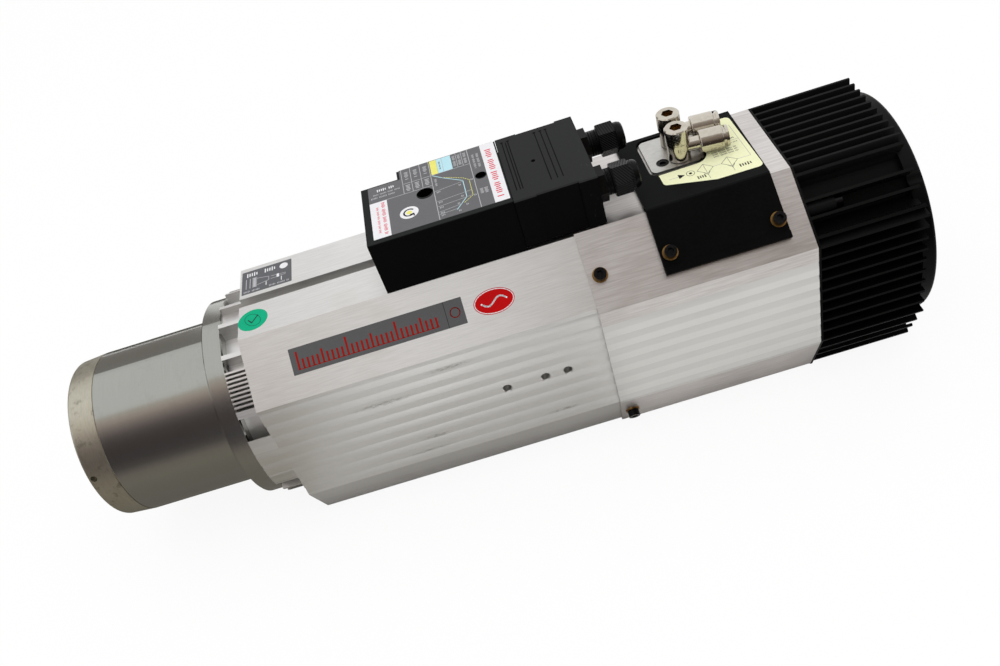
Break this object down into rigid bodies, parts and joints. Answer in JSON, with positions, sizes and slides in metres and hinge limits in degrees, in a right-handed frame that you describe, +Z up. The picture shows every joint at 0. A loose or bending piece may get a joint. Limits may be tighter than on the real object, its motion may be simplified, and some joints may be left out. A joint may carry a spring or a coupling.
{
  "type": "motor spindle",
  "caption": "Octagonal aluminium motor spindle with a 7/24 tool taper, steel bearing nose, cable connector, air fittings and a finned fan cover.",
  "frame": {"origin": "gauge plane of the tool taper, on the spindle axis", "axes": "+X from the tool along the spindle axis to the fan, +Z up through the connector, resting on the flat foot"},
  "size_m": [0.5256, 0.1414, 0.178],
  "materials": {
    "champagne_steel": "turned, satin",
    "dark_steel": "ground",
    "aluminium_skin": "brushed",
    "inner_aluminium": "machined",
    "hard_steel": "ground",
    "lamination": "stacked sheet",
    "copper": "enamelled wire",
    "black_plastic": "moulded, fine grain",
    "black_paint": "satin",
    "black_oxide": "black oxide",
    "passivated": "yellow passivated",
    "nickel": "nickel plated",
    "plate_aluminium": "satin",
    "seal_rubber": "matt"
  },
  "bodies": {
    "housing": {"nose_cap": "champagne_steel", "nose_cap_screws": "black_oxide", "front_bearing_housing": "dark_steel", "flange_screws": "black_oxide", "motor_casing": "aluminium_skin", "stator_core": "lamination", "stator_windings": "copper", "rear_bearing_housing": "inner_aluminium", "rear_shroud": "aluminium_skin", "shroud_screws": "black_oxide", "shroud_washers": "passivated", "front_outer_rings": "hard_steel", "rear_outer_rings": "hard_steel", "release_cylinder": "inner_aluminium", "cylinder_cover": "inner_aluminium", "fan_frame": "inner_aluminium", "saddle_plate": "black_paint", "saddle_screws": "black_oxide", "saddle_washers": "passivated", "fitting_base": "plate_aluminium", "base_screws": "black_oxide", "port_block": "inner_aluminium", "connector_base": "black_plastic", "connector_screws": "black_oxide", "connector_insert": "black_plastic", "connector_hood": "black_plastic", "gland_bodies": "black_plastic", "gland_nuts": "black_plastic", "gland_seals": "seal_rubber", "fan_cover": "black_plastic", "cover_screws": "black_oxide", "fan_guard": "black_plastic", "fan_motor": "black_plastic", "fitting_stem_1": "nickel", "fitting_stem_2": "nickel"},
    "shaft": {"spindle_shaft": "hard_steel", "drive_keys": "hard_steel", "rotor_core": "lamination", "rotor_end_rings": "inner_aluminium", "front_inner_rings": "hard_steel", "rear_inner_rings": "hard_steel", "front_lock_nut": "hard_steel", "rear_lock_nut": "hard_steel", "disc_springs": "hard_steel"},
    "front_cage": {"front_ball_cages": "hard_steel"},
    "rear_cage": {"rear_ball_cages": "hard_steel"},
    "clamp_rod": {"drawbar": "hard_steel"},
    "piston": {"release_piston": "inner_aluminium", "piston_seal": "seal_rubber"},
    "fan": {"fan_impeller": "black_plastic"},
    "finger_1": {"gripper_finger_1": "hard_steel"},
    "finger_2": {"gripper_finger_2": "hard_steel"},
    "finger_3": {"gripper_finger_3": "hard_steel"},
    "finger_4": {"gripper_finger_4": "hard_steel"},
    "elbow_1": {"elbow_1": "nickel"},
    "collar_1": {"release_collar_1": "nickel"},
    "elbow_2": {"elbow_2": "nickel"},
    "collar_2": {"release_collar_2": "nickel"}
  },
  "joints": [
    {"name": "shaft_spin", "type": "hinge", "parent": "housing", "child": "shaft", "pos_m": [0, 0, 0], "axis": [1, 0, 0], "continuous": true},
    {"name": "front_cage_spin", "type": "hinge", "parent": "housing", "child": "front_cage", "pos_m": [0.045, 0, 0], "axis": [1, 0, 0], "continuous": true},
    {"name": "rear_cage_spin", "type": "hinge", "parent": "housing", "child": "rear_cage", "pos_m": [0.324, 0, 0], "axis": [1, 0, 0], "continuous": true},
    {"name": "piston_slide", "type": "slide", "parent": "housing", "child": "piston", "axis": [-1, 0, 0], "range_m": [0, 0.008], "stiffness_N_per_m": 4000, "springref_m": -0.002},
    {"name": "drawbar_slide", "type": "slide", "parent": "shaft", "child": "clamp_rod", "axis": [-1, 0, 0], "range_m": [0, 0.008], "deforming": ["disc_springs"]},
    {"name": "finger_1_swing", "type": "hinge", "parent": "clamp_rod", "child": "finger_1", "pos_m": [0.086, -0.0046, 0.0046], "axis": [0, 0.7071, 0.7071], "range_deg": [0, 5]},
    {"name": "finger_2_swing", "type": "hinge", "parent": "clamp_rod", "child": "finger_2", "pos_m": [0.086, -0.0046, -0.0046], "axis": [0, -0.7071, 0.7071], "range_deg": [0, 5]},
    {"name": "finger_3_swing", "type": "hinge", "parent": "clamp_rod", "child": "finger_3", "pos_m": [0.086, 0.0046, -0.0046], "axis": [0, -0.7071, -0.7071], "range_deg": [0, 5]},
    {"name": "finger_4_swing", "type": "hinge", "parent": "clamp_rod", "child": "finger_4", "pos_m": [0.086, 0.0046, 0.0046], "axis": [0, 0.7071, -0.7071], "range_deg": [0, 5]},
    {"name": "fan_spin", "type": "hinge", "parent": "housing", "child": "fan", "pos_m": [0.49, 0, 0], "axis": [1, 0, 0], "continuous": true},
    {"name": "elbow_1_swivel", "type": "hinge", "parent": "housing", "child": "elbow_1", "pos_m": [0.4002, 0.0034, 0.0832], "axis": [0, 0, 1], "range_deg": [-85, 1.5]},
    {"name": "collar_1_press", "type": "slide", "parent": "elbow_1", "child": "collar_1", "axis": [-0.9936, 0.1132, 0], "range_m": [0, 0.0012], "stiffness_N_per_m": 400, "springref_m": -0.001},
    {"name": "elbow_2_swivel", "type": "hinge", "parent": "housing", "child": "elbow_2", "pos_m": [0.4002, 0.0196, 0.0832], "axis": [0, 0, 1], "range_deg": [-1.5, 85]},
    {"name": "collar_2_press", "type": "slide", "parent": "elbow_2", "child": "collar_2", "axis": [-0.9936, 0.1132, 0], "range_m": [0, 0.0012], "stiffness_N_per_m": 400, "springref_m": -0.001}
  ],
  "couplings": [
    {"joint": "front_cage_spin", "follows": "shaft_spin", "ratio": 0.43},
    {"joint": "rear_cage_spin", "follows": "shaft_spin", "ratio": 0.42},
    {"joint": "drawbar_slide", "follows": "piston_slide", "ratio": 1},
    {"joint": "finger_1_swing", "follows": "piston_slide", "rad_per_m": 10.6},
    {"joint": "finger_2_swing", "follows": "piston_slide", "rad_per_m": 10.6},
    {"joint": "finger_3_swing", "follows": "piston_slide", "rad_per_m": 10.6},
    {"joint": "finger_4_swing", "follows": "piston_slide", "rad_per_m": 10.6}
  ]
}
